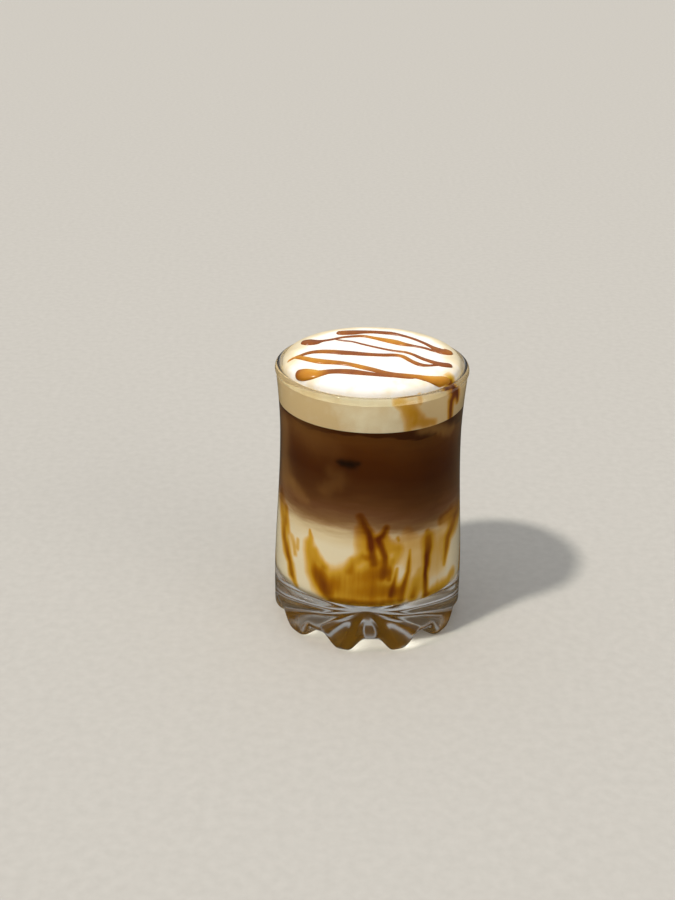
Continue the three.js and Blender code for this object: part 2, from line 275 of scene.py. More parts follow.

# Tint of the foam: from this radius out to the rim, and under the rim along the wall, where it is also
# painted shade towards the edges and on the right
RIM_TINT_RADIUS = 24.0
RIM_TINT_WIDTH = 10.0
RIM_TINT_IN_FRONT = 0.14
RIM_TINT_BEHIND = 0.75
WALL_TINT = 0.7
WALL_TINT_HEIGHT = 2.0
# Painted shade: the wall of the foam is darker towards both edges of the glass and on the right
WALL_SHADE_AT_EDGES = 0.36
WALL_SHADE_ON_RIGHT = 0.12

# Where the stronger tint behind and the painted shade at the edges and on the right set in: from this turn,
# over this many degrees
BEHIND = (55.0, 50.0)
ON_RIGHT = (10.0, 25.0)
AT_EDGES = (8.0, 36.0)
EDGES_MIDDLE_TURN = 4.0

# The smears lie on the wall of the foam only
SMEARS_FROM_RADIUS = 33.0

# Sizes of the patterns in the materials: how far apart their spots are
SAUCE_RUNS = 3.0
SAUCE_RUN_STRETCH = 0.12
LAYER_SPOTS = 14.0
LAYER_FLATNESS = 5.0
FOAM_PATCHES = 7.0
FOAM_BUBBLES = 1.1
FOAM_RELIEF = 0.3
SAUCE_BLOTCHES = 3.3
BOARD_GRAIN = 4.0

# Section of a stroke of the drizzle
DRIZZLE_LEAST_HALF_WIDTH = 0.25
DRIZZLE_LEAST_RISE = 0.3
DRIZZLE_RISE = 0.14
DRIZZLE_BED = 0.5
DRIZZLE_END_STEPS = 4.0

# Most of a noise lies between these values
NOISE_LOW = 0.3
NOISE_HIGH = 0.7

# The colours of the layers run from and to these heights, pushed up or down by this much
COLOURS_FROM_Z = 45.0
COLOURS_TO_Z = 97.0
LAYER_WOBBLE = 1.2

# Camera: where the photo was taken from, fitted to the rim, the foot and the layers
CAMERA_PLACE = (-13.1, -493.6, 300.0)
CAMERA_PITCH = 24.66
CAMERA_ROLL = 0.75
CAMERA_LENS = 53.94

# Floor
BOARD_WIDTH = 16000.0
BOARD_GAP = 0.05

# How fine the meshes are
GLASS_SEGMENTS = 400
GLASS_WALL_STEPS = 70
GLASS_WALL_STEP = 1.5
UNDERSIDE_RINGS = 24
PETAL_RINGS = 22
BEAD_RING_EVERY = 8.0
FLOOR_RING_RADII = (26.0, 18.0, 9.0)
DOME_SAMPLES = 3001
CORNER_RINGS = 13
DRINK_SEGMENTS = 600
WALL_STEP = 0.5
DOME_RINGS = 60
DRIZZLE_STEPS = 110
DRIZZLE_SIDES = 16
DRIZZLE_VOXEL = 0.22
DRIZZLE_SOFTENING = 5
SHARP_ANGLE = 50.0


def lerp(a, b, t):
    """a where t is 0 and b where t is 1."""
    return a + (b - a) * t


def smoothstep(t):
    """0 to 1, level at both ends."""
    t = np.clip(t, 0.0, 1.0)
    return t * t * (3.0 - 2.0 * t)


def rising(value, start, width):
    """0 up to start, then smoothly up to 1 over width."""
    return smoothstep((value - start) / width)


def outer_radius(z):
    """The outer wall: a slight waist, a gentle bulge below it and a flare above."""
    z = np.asarray(z, float)
    flare = RIM_FLARE * np.clip((z - WAIST_Z) / (BEAD_Z - WAIST_Z), 0.0, None) ** RIM_FLARE_POWER
    swell = 0.5 * (1.0 + np.cos(math.pi * (z - BULGE_Z) / (WAIST_Z - BULGE_Z)))
    return WAIST_RADIUS + np.where(z > WAIST_Z, flare, (BULGE_RADIUS - WAIST_RADIUS) * swell)


def inner_radius(z):
    """The inner wall: the outer one less the glass, which thins towards the rim."""
    share = (np.asarray(z, float) - FLOOR_Z) / (BEAD_Z - FLOOR_Z)
    return outer_radius(z) - lerp(WALL_AT_FLOOR, WALL_AT_RIM, share)


def foam_top(radius):
    """The height of the foam: nearly flat in the middle, with a round shoulder."""
    share = np.clip(np.asarray(radius, float) / FOAM_RADIUS, 0.0, 1.0)
    return FOAM_EDGE_Z + FOAM_RISE * (1.0 - share**FOAM_FLATNESS) ** FOAM_SHOULDER


def dome_place(x, y):
    """The point of the foam at x, y along its surface, and the way out of the surface there."""
    radii = np.linspace(0.0, FOAM_RADIUS, DOME_SAMPLES)
    heights = foam_top(radii)
    lengths = np.concatenate([[0.0], np.cumsum(np.hypot(np.diff(radii), np.diff(heights)))])
    length = max(1e-6, math.hypot(x, y))
    radius = float(np.interp(length, lengths, radii))
    reach = 0.3
    before, after = np.interp([length - reach, length + reach], lengths, heights)
    fall = math.asin(min(1.0, max(0.0, (before - after) / (2.0 * reach))))
    out = (x / length, y / length)
    point = Vector((out[0] * radius, out[1] * radius, float(np.interp(length, lengths, heights))))
    normal = Vector((out[0] * math.sin(fall), out[1] * math.sin(fall), math.cos(fall)))
    return point, normal


def petal(turn):
    """1 along the middle of a petal of the foot, 0 along the groove between two petals."""
    pitch = 360.0 / PETALS
    share = (turn - TOE_ANGLE) / pitch
    off = np.abs(share - np.round(share)) * pitch
    slope = (off - TOE_FLAT) / (TOE_FALL - TOE_FLAT)
    return 0.5 * (1.0 + np.cos(math.pi * np.clip(slope, 0.0, 1.0)))


def mesh_object(name, points, faces):
    """A mesh from points in millimetres, smooth but for its sharp edges."""
    mesh = bpy.data.meshes.new(name)
    mesh.from_pydata(np.asarray(points, float) * MM, [], faces)
    mesh.update()
    mesh.shade_smooth()
    mesh.set_sharp_from_angle(angle=math.radians(SHARP_ANGLE))
    obj = bpy.data.objects.new(name, mesh)
    bpy.context.scene.collection.objects.link(obj)
    return obj


def turned_mesh(name, bottom_z, radii, heights, top_z):
    """A closed surface through rings, which begins and ends on the axis.

    radii and heights have one row for each ring and one column for each turn.
    """
    rings, segments = radii.shape
    turns = np.radians(np.arange(segments) * 360.0 / segments)
    x = radii * np.sin(turns)
    y = -radii * np.cos(turns)
    wall = np.stack([x, y, heights], axis=-1).reshape(-1, 3)
    points = np.vstack([[(0.0, 0.0, bottom_z)], wall, [(0.0, 0.0, top_z)]])
    columns = [(a, (a + 1) % segments) for a in range(segments)]
    faces = [(0, 1 + b, 1 + a) for a, b in columns]
    for k in range(rings - 1):
        low = 1 + k * segments
        high = low + segments
        faces += [(low + a, low + b, high + b, high + a) for a, b in columns]
    last = 1 + rings * segments
    top = 1 + (rings - 1) * segments
    faces += [(last, top + a, top + b) for a, b in columns]
    return mesh_object(name, points, faces)


def round_rings(profile, segments):
    """Rings of revolution for a profile of (radius, z) points."""
    profile = np.asarray(profile, float)
    radii = np.repeat(profile[:, :1], segments, axis=1)
    heights = np.repeat(profile[:, 1:], segments, axis=1)
    return radii, heights


def inner_profile(gap, from_z, to_z, step):
    """The inner wall from its floor corner up, moved towards the axis by gap."""
    corner_z = FLOOR_Z + FLOOR_CORNER
    points = []
    if from_z < corner_z:
        centre = float(inner_radius(corner_z)) - FLOOR_CORNER
        bend = FLOOR_CORNER - gap
        for turn in np.linspace(0.0, math.pi / 2, CORNER_RINGS):
            points.append((centre + bend * math.sin(turn), corner_z - bend * math.cos(turn)))
        from_z = corner_z
    else:
        points.append((float(inner_radius(from_z)) - gap, from_z))
    count = max(2, round((to_z - from_z) / step))
    for z in np.linspace(from_z, to_z, count + 1)[1:]:
        points.append((float(inner_radius(z)) - gap, z))
    return points


def foot_rings(turns):
    """The underside, where ribs rise out of a smooth middle, and the rounded petals."""
    weight = petal(turns)
    rows = []
    for radius in np.linspace(1.0, TOE_INNER_RADIUS, UNDERSIDE_RINGS):
        toe_z = UNDERSIDE_RISE * (1.0 - radius / TOE_INNER_RADIUS)
        groove_z = lerp(UNDERSIDE_RISE, ARCH_HEIGHT, radius / ARCH_RADIUS)
        ribs = lerp(0.5, weight, rising(radius, RIBS_FROM_RADIUS, RIBS_RISE))
        rows.append((np.full_like(turns, radius), lerp(groove_z, toe_z, ribs)))
    toe_reach = float(outer_radius(TOE_ROUNDING_Z)) - TOE_OUTER_RADIUS
    arch_reach = float(outer_radius(ARCH_TOP_Z)) - ARCH_RADIUS
    for bend in np.linspace(0.0, math.pi / 2, PETAL_RINGS):
        rise = 1.0 - math.cos(bend)
        toe_r = TOE_OUTER_RADIUS + toe_reach * math.sin(bend)
        arch_r = ARCH_RADIUS + arch_reach * math.sin(bend)
        arch_z = lerp(ARCH_HEIGHT, ARCH_TOP_Z, rise)
        rows.append((lerp(arch_r, toe_r, weight), lerp(arch_z, TOE_ROUNDING_Z * rise, weight)))
    return np.array([r for r, _ in rows]), np.array([z for _, z in rows])


def make_glass():
    """The tumbler as one skin: underside, petals, outer wall, bead, inner wall and floor."""
    turns = np.arange(GLASS_SEGMENTS) * 360.0 / GLASS_SEGMENTS
    foot_r, foot_z = foot_rings(turns)
    wall_top = BEAD_Z - BEAD_HALF_HEIGHT - BEAD_NECK
    outside_z = np.linspace(BULGE_Z + WALL_START, wall_top, GLASS_WALL_STEPS)
    outside = [(float(outer_radius(z)), z) for z in outside_z]
    bead = []
    for turn in np.radians(np.arange(*BEAD_TURNS, BEAD_RING_EVERY)):
        radius = RIM_RADIUS - BEAD_HALF_WIDTH + BEAD_HALF_WIDTH * math.cos(turn)
        bead.append((radius, BEAD_Z + BEAD_HALF_HEIGHT * math.sin(turn)))
    inside = inner_profile(0.0, FLOOR_Z, wall_top, GLASS_WALL_STEP)[::-1]
    floor = [(radius, FLOOR_Z) for radius in FLOOR_RING_RADII]
    round_r, round_z = round_rings(outside + bead + inside + floor, GLASS_SEGMENTS)
    radii = np.vstack([foot_r, round_r])
    heights = np.vstack([foot_z, round_z])
    return turned_mesh("tumbler", UNDERSIDE_RISE, radii, heights, FLOOR_Z)


def swirl(turn, z, width, height, seed):
    """Smooth seeded unevenness over the wall, from -1 to 1, in cells of width by height."""
    columns = max(4, round(2 * math.pi * WAIST_RADIUS / width))
    grid = np.random.default_rng(seed).uniform(-1.0, 1.0, (int(GLASS_HEIGHT / height) + 4, columns))
    across = (turn / 360.0 % 1.0) * columns
    up = np.clip(z, 0.0, None) / height
    column = np.floor(across).astype(int)
    row = np.floor(up).astype(int)
    s = smoothstep(across - column)
    t = smoothstep(up - row)
    left = column % columns
    right = (column + 1) % columns
    below = lerp(grid[row, left], grid[row, right], s)
    above = lerp(grid[row + 1, left], grid[row + 1, right], s)
    return lerp(below, above, t)


def swirls(turn, z, kinds):
    """The sum of several kinds of unevenness, in millimetres."""
    return sum(reach * swirl(turn, z, width, height, seed) for width, height, seed, reach in kinds)


def sauce_depth(turn, z, streaks, drift=1.0):
    """How deep the sauce is at places on the wall, from 0 for none to 1. Each streak thins out."""
    wander = swirls(turn, z, STREAKS_WANDER)
    high = z + drift * swirls(turn, z, STREAKS_LIFT)
    bare = np.ones_like(z)
    for streak in streaks:
        depth = np.zeros_like(z)
        for start, end in zip(streak, streak[1:]):
            start_turn, start_z, start_width, start_depth = start
            end_turn, end_z, end_width, end_depth = end
            radius = float(inner_radius(0.5 * (start_z + end_z)))
            along = np.radians((turn - start_turn + 180.0) % 360.0 - 180.0) * radius + drift * wander
            reach_x = math.radians(end_turn - start_turn) * radius
            reach_z = end_z - start_z
            length = reach_x**2 + reach_z**2
            share = np.clip((along * reach_x + (high - start_z) * reach_z) / length, 0.0, 1.0)
            off = np.hypot(along - share * reach_x, high - start_z - share * reach_z)
            half_width = 0.5 * lerp(start_width, end_width, share) + STREAK_EDGE
            thinning = np.exp(-((off / half_width) ** STREAK_FLATNESS))
            depth = np.maximum(depth, lerp(start_depth, end_depth, share) * thinning)
        bare *= 1.0 - depth
    return 1.0 - bare


def store(obj, name, values):
    """Keeps one number for each vertex, which a material can read."""
    attribute = obj.data.attributes.new(name, "FLOAT", "POINT")
    attribute.data.foreach_set("value", np.asarray(values, np.float32))


def places(obj):
    """Turn, z and radius of each vertex, in degrees and millimetres."""
    points = np.empty(len(obj.data.vertices) * 3)
    obj.data.vertices.foreach_get("co", points)
    points = points.reshape(-1, 3) / MM
    turn = np.degrees(np.arctan2(points[:, 0], -points[:, 1]))
    return turn, points[:, 2], np.hypot(points[:, 0], points[:, 1])


def back_streaks(seed):
    """Streaks round the back of the glass, of the same kind as those in front."""
    rng = np.random.default_rng(seed)
    streaks = []
    turn = BACK_FROM_TURN
    while turn < BACK_TO_TURN:
        top = rng.uniform(36.0, 60.0)
        bend = rng.uniform(-5.0, 5.0)
        width = rng.uniform(1.5, 6.5)
        depth = rng.uniform(0.45, 1.0)
        lean = rng.uniform(-9.0, 9.0)
        tip = rng.uniform(0.3, 0.9)
        neck = rng.uniform(0.4, 0.9)
        streaks.append(
            (
                (turn, top, tip * width, 0.7 * depth),
                (turn + bend, lerp(BACK_FOOT_Z, top, 0.7), width, depth),
                (turn + 0.5 * lean, lerp(BACK_FOOT_Z, top, 0.35), neck * width, depth),
                (turn + lean, BACK_FOOT_Z, 1.2 * width, 0.8 * depth),
            )
        )
        turn += rng.uniform(5.0, 22.0)
    # A pool joins the feet of the streaks
    pool = []
    for turn in np.arange(BACK_FROM_TURN, BACK_TO_TURN + POOL_STEP, POOL_STEP):
        pool.append((float(turn), rng.uniform(23.0, 28.0), rng.uniform(5.0, 13.0), POOL_DEPTH))
    return (*streaks, tuple(pool))


def make_layer(name, from_z, to_z):
    """One layer of the drink, from the floor of the glass or the layer below it to to_z."""
    profile = inner_profile(-REACH, from_z, to_z, WALL_STEP)
    profile = [(profile[0][0] * share, profile[0][1]) for share in (0.2, 0.4, 0.6, 0.8)] + profile
    radii, heights = round_rings(profile, DRINK_SEGMENTS)
    return turned_mesh(name, profile[0][1], radii, heights, to_z)


def make_foam():
    """The cap of foam: against the glass up to the bead of the rim, and domed above it."""
    side = inner_profile(-REACH, COFFEE_TOP_Z, BEAD_Z - BEAD_HALF_HEIGHT, WALL_STEP)
    side.append((FOAM_RADIUS, FOAM_LEAN_Z))
    # Rings are closest at the shoulder, where the dome bends most
    shares = 1.0 - np.linspace(0.0, 1.0, DOME_RINGS)[:-1] ** 2.2
    dome = [(FOAM_RADIUS * s, float(foam_top(FOAM_RADIUS * s))) for s in shares]
    radii, heights = round_rings(side + dome, DRINK_SEGMENTS)
    return turned_mesh("foam_cap", COFFEE_TOP_Z, radii, heights, float(foam_top(0.0)))


def blur_underside(tumbler):
    """Gives the underside the glass that the mould has marked."""
    tumbler.data.materials.append(soda_lime_glass("mould_marked_glass", MOULD_ROUGHNESS))
    for face in tumbler.data.polygons:
        x, y, z = face.center / MM
        face.material_index = int(z < UNDERSIDE_TOP_Z and math.hypot(x, y) < ARCH_RADIUS)


def stain_and_light_layer(layer, streaks):
    """Keeps how high, saucy and icy each point of a layer looks, and its milk clouds, which carry painted
    light along the left side and the right edge.
    """
    turn, z, radius = places(layer)
    ahead = np.cos(np.radians(turn))
    lean = LAYER_LEAN + LEAN_ON_RIGHT * rising(turn, *LEAN_TURNS) * smoothstep(LEAN_FADE * ahead)
    settled = SETTLED_DEPTH * (radius < SETTLED_RADIUS)
    store(layer, "height", z + lean + swirls(turn, z, LAYERS_LIFT))
    store(layer, "sauce", np.maximum(sauce_depth(turn, z, streaks, SAUCE_DRIFT), settled))
    store(layer, "cloud_and_edge_light", sauce_depth(turn, z, MILK_CLOUDS_AND_EDGE_LIGHT))
    store(layer, "window", sauce_depth(turn, z, ICE_WINDOW, ICE_DRIFT))


def tint_and_shade_foam(foam_cap):
    """Keeps how saucy each point of the foam looks, and its tint: tan towards the rim, coffee-tinted along
    the wall, and painted shade towards the edges and on the right of the wall.
    """
    turn, z, radius = places(foam_cap)
    behind = rising(np.abs(turn), *BEHIND)
    on_right = rising(turn, *ON_RIGHT)
    edges = rising(np.abs(turn - EDGES_MIDDLE_TURN), *AT_EDGES)
    out_to_rim = rising(radius, RIM_TINT_RADIUS, RIM_TINT_WIDTH)
    below_edge = smoothstep((FOAM_EDGE_Z - z) / WALL_TINT_HEIGHT)
    rim_tint = out_to_rim * lerp(RIM_TINT_IN_FRONT, RIM_TINT_BEHIND, behind)
    # Painted shade: the wall of the foam is darkened towards the edges and on the right
    wall_tint_and_shade = below_edge * (WALL_TINT + WALL_SHADE_AT_EDGES * edges + WALL_SHADE_ON_RIGHT * on_right)
    smears = sauce_depth(turn, z, FOAM_SMEARS, SMEAR_DRIFT)
    store(foam_cap, "sauce", smears * (radius > SMEARS_FROM_RADIUS))
    store(foam_cap, "tint_and_painted_shade", np.maximum(rim_tint, wall_tint_and_shade))


def smooth_line(stations, count):
    """A Catmull-Rom line through stations, evenly sampled."""
    p = np.asarray(stations, float)
    p = np.vstack([2 * p[0] - p[1], p, 2 * p[-1] - p[-2]])
    spans = len(p) - 3
    line = []
    for u in np.linspace(0.0, spans, count):
        k = min(int(u), spans - 1)
        t = u - k
        a, b, c, d = p[k : k + 4]
        slope = (c - a) * t
        bend = (2 * a - 5 * b + 4 * c - d) * t**2
        twist = (3 * b - a - 3 * c + d) * t**3
        line.append(0.5 * (2 * b + slope + bend + twist))
    return np.array(line)


def make_drizzle():
    """Strokes of thick sauce that lie on the foam, merged into one skin."""
    points = []
    faces = []
    lines = [smooth_line(stations, DRIZZLE_STEPS) for stations in DRIZZLE]
    for line in lines:
        ahead = np.gradient(line[:, :2], axis=0)
        ahead /= np.linalg.norm(ahead, axis=1)[:, None]
        from_end = np.minimum(np.arange(DRIZZLE_STEPS), np.arange(DRIZZLE_STEPS)[::-1])
        first = len(points)
        for k, (x, y, width, _) in enumerate(line):
            short = 1.0 - min(1.0, (from_end[k] + 0.3) / DRIZZLE_END_STEPS)
            rounding = math.sqrt(1.0 - short**2)
            half_width = max(DRIZZLE_LEAST_HALF_WIDTH, 0.5 * width * rounding)
            rise = (DRIZZLE_LEAST_RISE + DRIZZLE_RISE * width) * max(rounding, 0.3)
            for turn in np.arange(DRIZZLE_SIDES) * 2 * math.pi / DRIZZLE_SIDES:
                across = half_width * math.cos(turn)
                point, normal = dome_place(x - ahead[k, 1] * across, y + ahead[k, 0] * across)
                depth = rise if turn < math.pi else DRIZZLE_BED
                points.append(point + normal * math.sin(turn) * depth)
        for k in range(DRIZZLE_STEPS - 1):
            a = first + k * DRIZZLE_SIDES
            b = a + DRIZZLE_SIDES
            for i in range(DRIZZLE_SIDES):
                j = (i + 1) % DRIZZLE_SIDES
                faces.append((a + i, a + j, b + j, b + i))
        end = first + (DRIZZLE_STEPS - 1) * DRIZZLE_SIDES
        faces.append(tuple(first + i for i in reversed(range(DRIZZLE_SIDES))))
        faces.append(tuple(end + i for i in range(DRIZZLE_SIDES)))
    obj = mesh_object("caramel_drizzle", points, faces)
    remesh = obj.modifiers.new("merge", "REMESH")
    remesh.mode = "VOXEL"
    remesh.voxel_size = DRIZZLE_VOXEL * MM
    soften = obj.modifiers.new("soften", "SMOOTH")
    soften.iterations = DRIZZLE_SOFTENING
    apply_modifiers(obj)
    obj.data.shade_smooth()
    # Painted light: how much glow of light through the sauce each point gets
    store(obj, "painted_glow", painted_glow_of(obj, np.vstack(lines)))
    return obj


def painted_glow_of(obj, stations):
    """Painted light: how much glow each point of the drizzle gets, which turns it golden, most on the far
    flank of the stations that ask for it.
    """
    points = np.empty(len(obj.data.vertices) * 3)
    obj.data.vertices.foreach_get("co", points)
    x, y = points.reshape(-1, 3)[:, :2].T / MM
    nearest = np.full(len(x), 9.0)
    painted_glow = np.zeros(len(x))
    for along_x, along_y, width, amount in stations:
        middle, _ = dome_place(along_x, along_y)
        off = np.hypot(x - middle.x, y - middle.y) / (0.5 * width)
        # Painted light: the far flank of a stroke is painted with more glow than the near one
        flank = smoothstep(0.5 + (y - middle.y) / width)
        closer = off < nearest
        nearest = np.where(closer, off, nearest)
        painted_glow = np.where(closer, amount * lerp(0.5, 1.1, flank) * smoothstep(1.7 - off), painted_glow)
    return painted_glow


def apply_modifiers(obj):
    """Keeps the mesh that the modifiers make, and drops the modifiers."""
    graph = bpy.context.evaluated_depsgraph_get()
    made = bpy.data.meshes.new_from_object(obj.evaluated_get(graph))
    obj.modifiers.clear()
    old = obj.data
    obj.data = made
    bpy.data.meshes.remove(old)


def linear(colour):
    """An sRGB hex colour as linear red, green, blue and full alpha."""
    parts = [int(colour[i : i + 2], 16) / 255.0 for i in (0, 2, 4)]
    return (*(c / 12.92 if c <= 0.04045 else ((c + 0.055) / 1.055) ** 2.4 for c in parts), 1.0)


def add(tree, kind, inputs=None, stops=(), **settings):
    """Adds a node with its settings, its plain values and its links. stops are the colours of a ramp."""
    node = tree.nodes.new(kind)
    for name, value in settings.items():
        setattr(node, name, value)
    for k, (position, colour) in enumerate(stops):
        if k > 1:
            node.color_ramp.elements.new(position)
        node.color_ramp.elements[k].position = position
        node.color_ramp.elements[k].color = linear(colour)
    for socket, value in (inputs or {}).items():
        if isinstance(value, bpy.types.NodeSocket):
            tree.links.new(value, node.inputs[socket])
        else:
            node.inputs[socket].default_value = value
    return node


def apart(size):
    """The scale of a pattern whose spots are size millimetres apart."""
    return 1.0 / (size * MM)


def new_material(name):
    """A material with an empty node tree."""
    material = bpy.data.materials.new(name)
    material.use_nodes = True
    material.node_tree.nodes.clear()
    return material, material.node_tree


def finish_material(tree, shader):
    """Links the shader to the surface of the material."""
    add(tree, "ShaderNodeOutputMaterial", {"Surface": shader.outputs[0]})


def soda_lime_glass(name, roughness):
    """Soda-lime glass: clear and glossy where fire-polished, a little blurred where moulded."""
    material, tree = new_material(name)
    glass = add(
        tree,
        "ShaderNodeBsdfPrincipled",
        {
            "Base Color": linear("FBFDFC"),
            "Roughness": roughness,
            "IOR": 1.5,
            "Transmission Weight": 1.0,
        },
    )
    clear = add(tree, "ShaderNodeBsdfTransparent", {"Color": linear("F4F7F5")})
    path = add(tree, "ShaderNodeLightPath")
    mixed = add(
        tree,
        "ShaderNodeMixShader",
        {0: path.outputs["Is Shadow Ray"], 1: glass.outputs[0], 2: clear.outputs[0]},
    )
    finish_material(tree, mixed)
    return material


def sauce_over(tree, place, colour, depth):
    """Lays translucent caramel of a given depth over a colour, and gives the mixed colour."""
    # The runs are finer in real sauce. They are drawn as coarse as they need to show
    stretch = add(
        tree,
        "ShaderNodeMapping",
        {"Vector": place, "Scale": (1.0, 1.0, SAUCE_RUN_STRETCH)},
    )
    runs = add(
        tree,
        "ShaderNodeTexNoise",
        {"Vector": stretch.outputs[0], "Scale": apart(SAUCE_RUNS), "Detail": 3.0},
    )
    uneven = add(tree, "ShaderNodeMapRange", {0: runs.outputs[0], 1: 0.25, 2: 0.75, 3: -0.07, 4: 0.07})
    wet = add(tree, "ShaderNodeMapRange", {0: depth, 1: 0.0, 2: 0.4, 3: 0.0, 4: 1.0})
    rough = add(
        tree,
        "ShaderNodeMath",
        {0: uneven.outputs[0], 1: wet.outputs[0], 2: depth},
        operation="MULTIPLY_ADD",
    )
    # Thin sauce filters the blue first, thick sauce is brown
    filter_colour = add(
        tree,
        "ShaderNodeValToRGB",
        {0: rough.outputs[0]},
        stops=(
            (0.02, "FFFFFF"),
            (0.12, "FCE7C0"),
            (0.3, "EBC77B"),
            (0.48, "E3BA45"),
            (0.62, "D4A733"),
            (0.74, "BC8510"),
            (0.86, "A06608"),
            (1.0, "74380E"),
        ),
    )
    mixed = add(
        tree,
        "ShaderNodeMix",
        {0: 1.0, 6: colour, 7: filter_colour.outputs[0]},
        data_type="RGBA",
        blend_type="MULTIPLY",
    )
    return mixed.outputs[2]


def layer_colours(tree, place):
    """Coffee above, milk below, and the stained band where one sinks into the other."""
    height = add(tree, "ShaderNodeAttribute", attribute_name="height").outputs["Fac"]
    flat = add(
        tree,
        "ShaderNodeMapping",
        {"Vector": place, "Scale": (1.0, 1.0, LAYER_FLATNESS)},
    )
    layers = add(
        tree,
        "ShaderNodeTexNoise",
        {"Vector": flat.outputs[0], "Scale": apart(LAYER_SPOTS), "Detail": 4.0, "Roughness": 0.6},
    )
    wobble = add(
        tree,
        "ShaderNodeMapRange",
        {0: layers.outputs[0], 1: NOISE_LOW, 2: NOISE_HIGH, 3: -LAYER_WOBBLE, 4: LAYER_WOBBLE},
    )
    level = add(tree, "ShaderNodeMath", {0: height, 1: wobble.outputs[0]}, operation="ADD")
    share = add(
        tree,
        "ShaderNodeMapRange",
        {0: level.outputs[0], 1: COLOURS_FROM_Z, 2: COLOURS_TO_Z, 3: 0.0, 4: 1.0},
    )
    ramp = add(
        tree,
        "ShaderNodeValToRGB",
        {0: share.outputs[0]},
        stops=(
            (0.06, "D9D1B9"),
            (0.14, "D2C4A2"),
            (0.2, "BDA985"),
            (0.24, "9C805B"),
            (0.28, "7E5E3C"),
            (0.354, "68452A"),
            (0.438, "5A381A"),
            (0.52, "4E2C10"),
            (0.66, "431F03"),
            (0.76, "472102"),
            (0.85, "4F2806"),
            (0.93, "58320D"),
            (0.985, "55310D"),
            (1.0, "3A1A02"),
        ),
    )
    return ramp.outputs[0]


def drink_colour(tree):
    """The layers, clouded by milk, lightened by painted light along the left side and the right edge, and
    crossed by caramel, as they show through the glass.
    """
    place = add(tree, "ShaderNodeTexCoord").outputs["Object"]
    cloud_and_edge_light = add(tree, "ShaderNodeAttribute", attribute_name="cloud_and_edge_light").outputs["Fac"]
    window = add(tree, "ShaderNodeAttribute", attribute_name="window").outputs["Fac"]
    depth = add(tree, "ShaderNodeAttribute", attribute_name="sauce").outputs["Fac"]
    colour = layer_colours(tree, place)
    # Painted light: along the left side and the right edge the clouds lighten the coffee as if lit
    clouded_and_lit = add(
        tree,
        "ShaderNodeMix",
        {0: cloud_and_edge_light, 6: colour, 7: linear("A67C44")},
        data_type="RGBA",
    )
    iced = add(
        tree,
        "ShaderNodeMix",
        {0: window, 6: clouded_and_lit.outputs[2], 7: linear("180800")},
        data_type="RGBA",
    )
    return sauce_over(tree, place, iced.outputs[2], depth)


def whole_milk():
    """Whole milk against glass: matt, warm white, stained by caramel and by the coffee above."""
    material, tree = new_material("whole_milk")
    milk = add(
        tree,
        "ShaderNodeBsdfPrincipled",
        {"Base Color": drink_colour(tree), "Roughness": 0.6, "IOR": 1.35, "Specular IOR Level": 0.0},
    )
    finish_material(tree, milk)
    return material


def iced_coffee():
    """Strong coffee against glass: deep brown, lighter where milk has sunk through it."""
    material, tree = new_material("iced_coffee")
    coffee = add(
        tree,
        "ShaderNodeBsdfPrincipled",
        {"Base Color": drink_colour(tree), "Roughness": 0.5, "IOR": 1.33, "Specular IOR Level": 0.0},
    )
    finish_material(tree, coffee)
    return material


def milk_foam():
    """Fine steamed foam: white on top, tinted where coffee crept up between it and the glass, and darker
    with painted shade towards the edges and on the right.
    """
    material, tree = new_material("milk_foam")
    place = add(tree, "ShaderNodeTexCoord").outputs["Object"]
    depth = add(tree, "ShaderNodeAttribute", attribute_name="sauce").outputs["Fac"]
    # The tint carries painted shade at the edges and on the right of the foam's wall
    tint_and_painted_shade = add(tree, "ShaderNodeAttribute", attribute_name="tint_and_painted_shade").outputs["Fac"]
    tint = add(
        tree,
        "ShaderNodeTexNoise",
        {"Vector": place, "Scale": apart(FOAM_PATCHES), "Detail": 4.0},
    )
    patch = add(
        tree,
        "ShaderNodeMapRange",
        {0: tint.outputs[0], 1: NOISE_LOW, 2: NOISE_HIGH, 3: -0.16, 4: 0.16},
    )
    uneven = add(tree, "ShaderNodeMath", {0: tint_and_painted_shade, 1: patch.outputs[0]}, operation="ADD")
    ramp = add(
        tree,
        "ShaderNodeValToRGB",
        {0: uneven.outputs[0]},
        stops=((0.1, "FFFDF8"), (0.35, "F4E6C6"), (0.6, "DDD3B6"), (1.0, "CDB78C")),
    )
    colour = sauce_over(tree, place, ramp.outputs[0], depth)
    # Bubbles are finer in real foam. They are drawn as coarse as they need to show
    bubbles = add(
        tree,
        "ShaderNodeTexNoise",
        {"Vector": place, "Scale": apart(FOAM_BUBBLES), "Detail": 3.0},
    )
    bump = add(
        tree,
        "ShaderNodeBump",
        {"Height": bubbles.outputs[0], "Strength": 0.15, "Distance": FOAM_RELIEF * MM},
    )
    foam = add(
        tree,
        "ShaderNodeBsdfPrincipled",
        {
            "Base Color": colour,
            "Roughness": 0.7,
            "IOR": 1.33,
            "Specular IOR Level": 0.2,
            "Normal": bump.outputs[0],
        },
    )
    finish_material(tree, foam)
    return material


